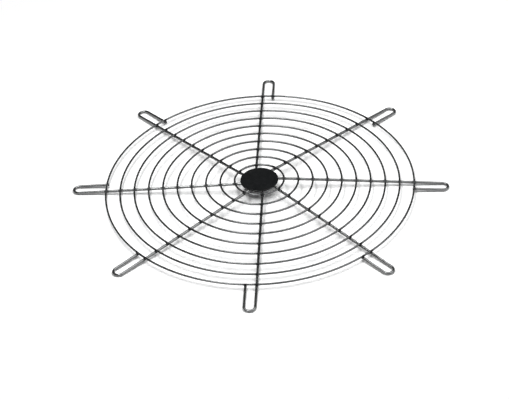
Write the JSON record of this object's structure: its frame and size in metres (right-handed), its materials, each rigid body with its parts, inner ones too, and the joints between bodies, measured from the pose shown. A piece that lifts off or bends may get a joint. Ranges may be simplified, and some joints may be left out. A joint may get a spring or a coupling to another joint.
{
  "type": "wire fan guard",
  "caption": "Round finger guard for a fan: a shallow cone of concentric wire rings on spokes whose ends form screw loops, with a black disc at the hub.",
  "frame": {"origin": "on the guard's axis, in the plane of the surface that the tips of the screw loops rest on", "axes": "+Z along the axis towards the domed side, +X along the radial line of spoke 1; seen from above, spokes 2 to 8 follow anticlockwise"},
  "size_m": [0.3678, 0.3678, 0.0134],
  "materials": {
    "ring_wire": "bright zinc-plated drawn steel wire",
    "spoke_wire": "bright zinc-plated drawn steel wire",
    "hub_enamel": "satin black enamel on pressed steel"
  },
  "bodies": {
    "root": {"hub_disc": "hub_enamel", "ring_01": "ring_wire", "ring_02": "ring_wire", "ring_03": "ring_wire", "ring_04": "ring_wire", "ring_05": "ring_wire", "ring_06": "ring_wire", "ring_07": "ring_wire", "ring_08": "ring_wire", "ring_09": "ring_wire", "ring_10": "ring_wire", "spoke_1": "spoke_wire", "spoke_2": "spoke_wire", "spoke_3": "spoke_wire", "spoke_4": "spoke_wire", "spoke_5": "spoke_wire", "spoke_6": "spoke_wire", "spoke_7": "spoke_wire", "spoke_8": "spoke_wire"}
  },
  "joints": []
}
